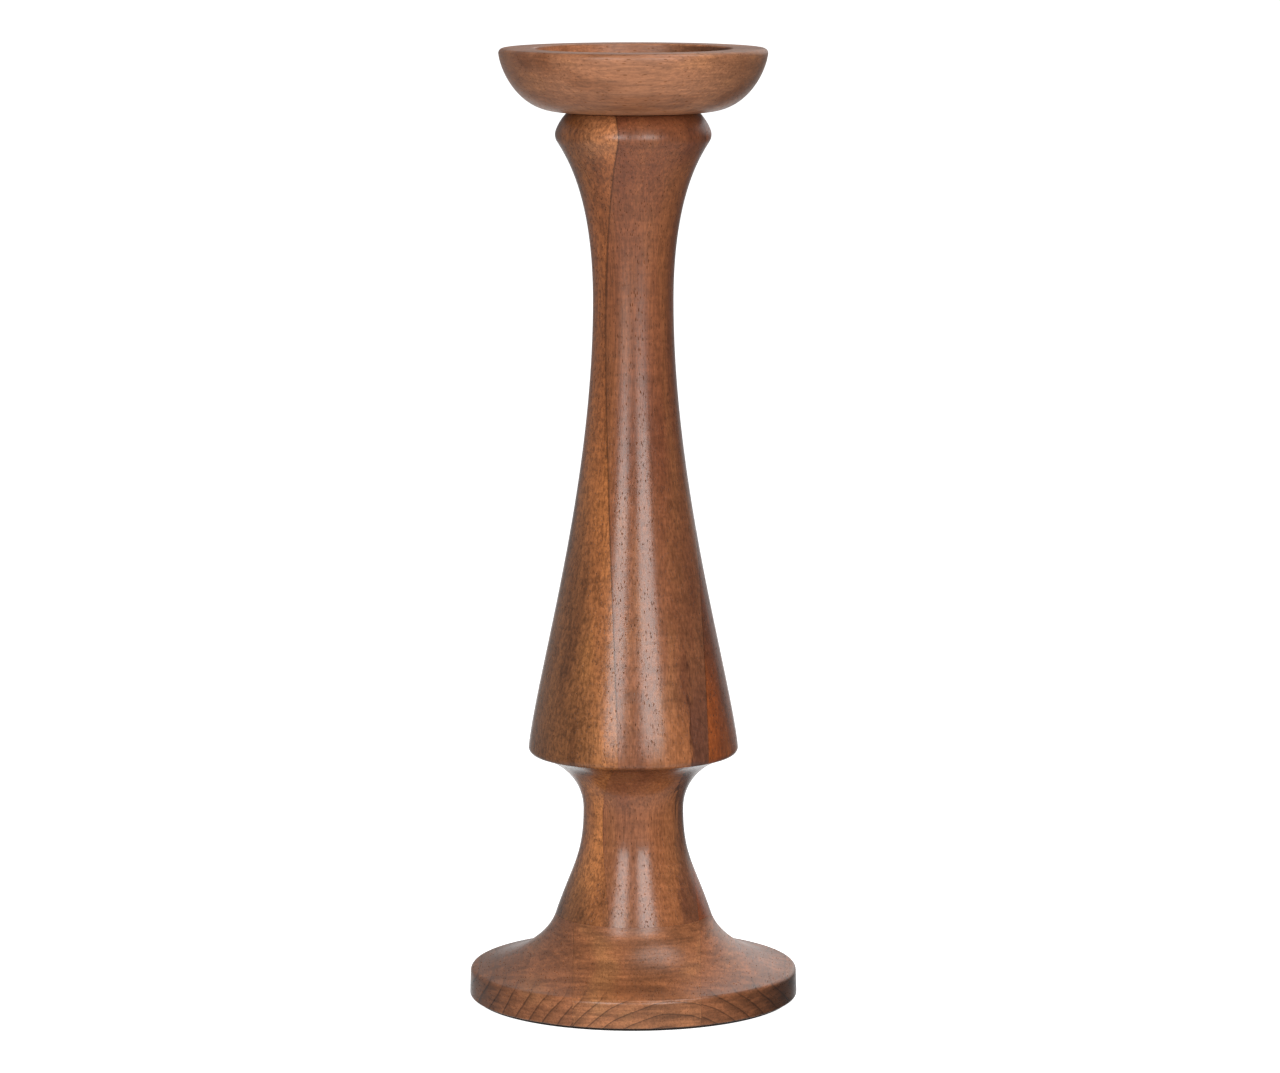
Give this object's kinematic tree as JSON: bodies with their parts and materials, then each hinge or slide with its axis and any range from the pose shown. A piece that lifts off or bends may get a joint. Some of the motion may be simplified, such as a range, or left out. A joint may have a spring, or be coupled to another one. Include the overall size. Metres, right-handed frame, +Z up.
{
  "type": "wooden candlestick",
  "caption": "Turned wooden pillar candle holder with a shallow dish, a tapered stem over an undercut skirt, and a flared round base with felt beneath.",
  "frame": {"origin": "centre of the felt's underside, where the turning axis meets the table", "axes": "+Z up along the turning axis; +X to the right and -Y towards a viewer who sees the left glue line just left of centre"},
  "size_m": [0.1382, 0.1382, 0.3997],
  "materials": {
    "stem_golden_wood": "stained hardwood under satin lacquer, golden brown with dark pores",
    "stem_brown_wood": "stained hardwood under satin lacquer, pinkish brown with dark pores",
    "stem_red_wood": "stained hardwood under satin lacquer, reddish brown with a darker heart streak",
    "base_brown_wood": "stained hardwood under satin lacquer, brown, end grain on the front edge",
    "base_golden_wood": "stained hardwood under satin lacquer, golden brown, crown of the growth rings",
    "base_red_wood": "stained hardwood under satin lacquer, reddish brown",
    "dish_wood": "stained hardwood under satin lacquer, grain running across the dish",
    "dowel_beech": "plain unfinished beech",
    "screw_zinc": "zinc plated",
    "base_felt": "dark pressed felt"
  },
  "bodies": {
    "root": {"stem_left_stave": "stem_golden_wood", "stem_middle_stave": "stem_brown_wood", "stem_right_stave_foot": "stem_red_wood", "stem_right_stave_body": "stem_red_wood", "stem_right_stave_bead": "stem_red_wood", "base_left_board": "base_brown_wood", "base_middle_board": "base_golden_wood", "base_right_board": "base_red_wood", "candle_dish": "dish_wood", "dish_dowel": "dowel_beech", "base_screw": "screw_zinc", "base_felt": "base_felt"}
  },
  "joints": []
}
